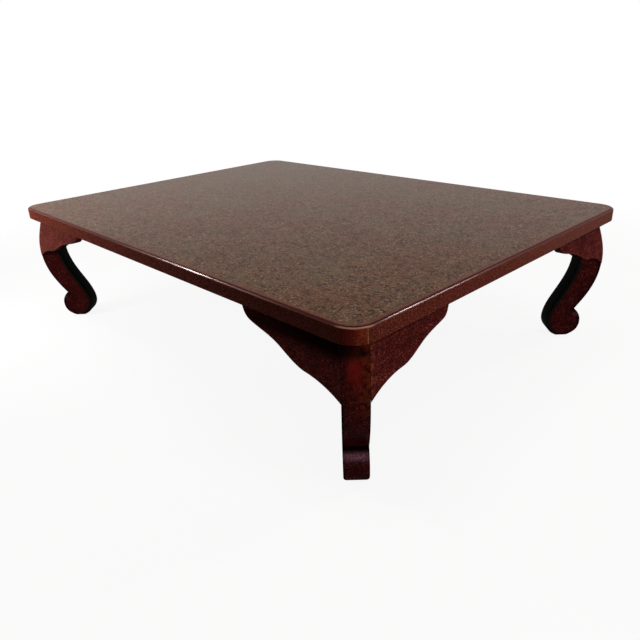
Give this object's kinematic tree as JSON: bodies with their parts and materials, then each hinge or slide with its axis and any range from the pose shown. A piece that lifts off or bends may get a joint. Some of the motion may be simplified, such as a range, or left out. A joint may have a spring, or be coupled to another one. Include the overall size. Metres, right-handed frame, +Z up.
{
  "type": "low folding table",
  "caption": "Low rectangular lacquered table with rounded corners, bowed corner brackets and diagonal cat legs that fold in under the top.",
  "frame": {"origin": "on the floor under the middle of the top", "axes": "+X along the long side, +Y along the short side, +Z up"},
  "size_m": [1.2, 0.88, 0.31],
  "materials": {
    "speckled_lacquer": "gloss lacquer with fine flecks",
    "red_lacquer": "gloss red-brown lacquer",
    "black_lacquer": "satin black lacquer",
    "steel": "dull plated steel",
    "brass": "worn brass"
  },
  "bodies": {
    "top": {"top_board": "speckled_lacquer", "rim_front": "speckled_lacquer", "rim_back": "speckled_lacquer", "rim_left": "speckled_lacquer", "rim_right": "speckled_lacquer", "batten_left": "black_lacquer", "batten_right": "black_lacquer", "corner_block_front_left": "black_lacquer", "bracket_front_left_long": "red_lacquer", "glue_block_front_left_long": "black_lacquer", "bracket_front_left_short": "red_lacquer", "glue_block_front_left_short": "black_lacquer", "hinge_plate_front_left": "steel", "hinge_bolt_front_left": "steel", "screw_front_left_1": "steel", "screw_front_left_2": "steel", "screw_front_left_3": "steel", "screw_front_left_4": "steel", "corner_block_front_right": "black_lacquer", "bracket_front_right_long": "red_lacquer", "glue_block_front_right_long": "black_lacquer", "bracket_front_right_short": "red_lacquer", "glue_block_front_right_short": "black_lacquer", "hinge_plate_front_right": "steel", "hinge_bolt_front_right": "steel", "screw_front_right_1": "steel", "screw_front_right_2": "steel", "screw_front_right_3": "steel", "screw_front_right_4": "steel", "corner_block_back_left": "black_lacquer", "bracket_back_left_long": "red_lacquer", "glue_block_back_left_long": "black_lacquer", "bracket_back_left_short": "red_lacquer", "glue_block_back_left_short": "black_lacquer", "hinge_plate_back_left": "steel", "hinge_bolt_back_left": "steel", "screw_back_left_1": "steel", "screw_back_left_2": "steel", "screw_back_left_3": "steel", "screw_back_left_4": "steel", "corner_block_back_right": "black_lacquer", "bracket_back_right_long": "red_lacquer", "glue_block_back_right_long": "black_lacquer", "bracket_back_right_short": "red_lacquer", "glue_block_back_right_short": "black_lacquer", "hinge_plate_back_right": "steel", "hinge_bolt_back_right": "steel", "screw_back_right_1": "steel", "screw_back_right_2": "steel", "screw_back_right_3": "steel", "screw_back_right_4": "steel"},
    "leg_front_left": {"leg_front_left": "red_lacquer"},
    "leg_front_right": {"leg_front_right": "red_lacquer"},
    "leg_back_left": {"leg_back_left": "red_lacquer"},
    "leg_back_right": {"leg_back_right": "red_lacquer"},
    "clamp_nut_front_left": {"clamp_nut_front_left": "brass"},
    "clamp_nut_front_right": {"clamp_nut_front_right": "brass"},
    "clamp_nut_back_left": {"clamp_nut_back_left": "brass"},
    "clamp_nut_back_right": {"clamp_nut_back_right": "brass"}
  },
  "joints": [
    {"name": "fold_front_left", "type": "hinge", "parent": "top", "child": "leg_front_left", "pos_m": [-0.5208, -0.3608, 0.2715], "axis": [0.7071, -0.7071, 0], "range_deg": [0, 88]},
    {"name": "turn_nut_front_left", "type": "hinge", "parent": "top", "child": "clamp_nut_front_left", "pos_m": [-0.5208, -0.3608, 0.2715], "axis": [0.7071, -0.7071, 0], "continuous": true},
    {"name": "fold_front_right", "type": "hinge", "parent": "top", "child": "leg_front_right", "pos_m": [0.5208, -0.3608, 0.2715], "axis": [0.7071, 0.7071, 0], "range_deg": [0, 88]},
    {"name": "turn_nut_front_right", "type": "hinge", "parent": "top", "child": "clamp_nut_front_right", "pos_m": [0.5208, -0.3608, 0.2715], "axis": [0.7071, 0.7071, 0], "continuous": true},
    {"name": "fold_back_left", "type": "hinge", "parent": "top", "child": "leg_back_left", "pos_m": [-0.5208, 0.3608, 0.2715], "axis": [-0.7071, -0.7071, 0], "range_deg": [0, 88]},
    {"name": "turn_nut_back_left", "type": "hinge", "parent": "top", "child": "clamp_nut_back_left", "pos_m": [-0.5208, 0.3608, 0.2715], "axis": [-0.7071, -0.7071, 0], "continuous": true},
    {"name": "fold_back_right", "type": "hinge", "parent": "top", "child": "leg_back_right", "pos_m": [0.5208, 0.3608, 0.2715], "axis": [-0.7071, 0.7071, 0], "range_deg": [0, 88]},
    {"name": "turn_nut_back_right", "type": "hinge", "parent": "top", "child": "clamp_nut_back_right", "pos_m": [0.5208, 0.3608, 0.2715], "axis": [-0.7071, 0.7071, 0], "continuous": true}
  ]
}
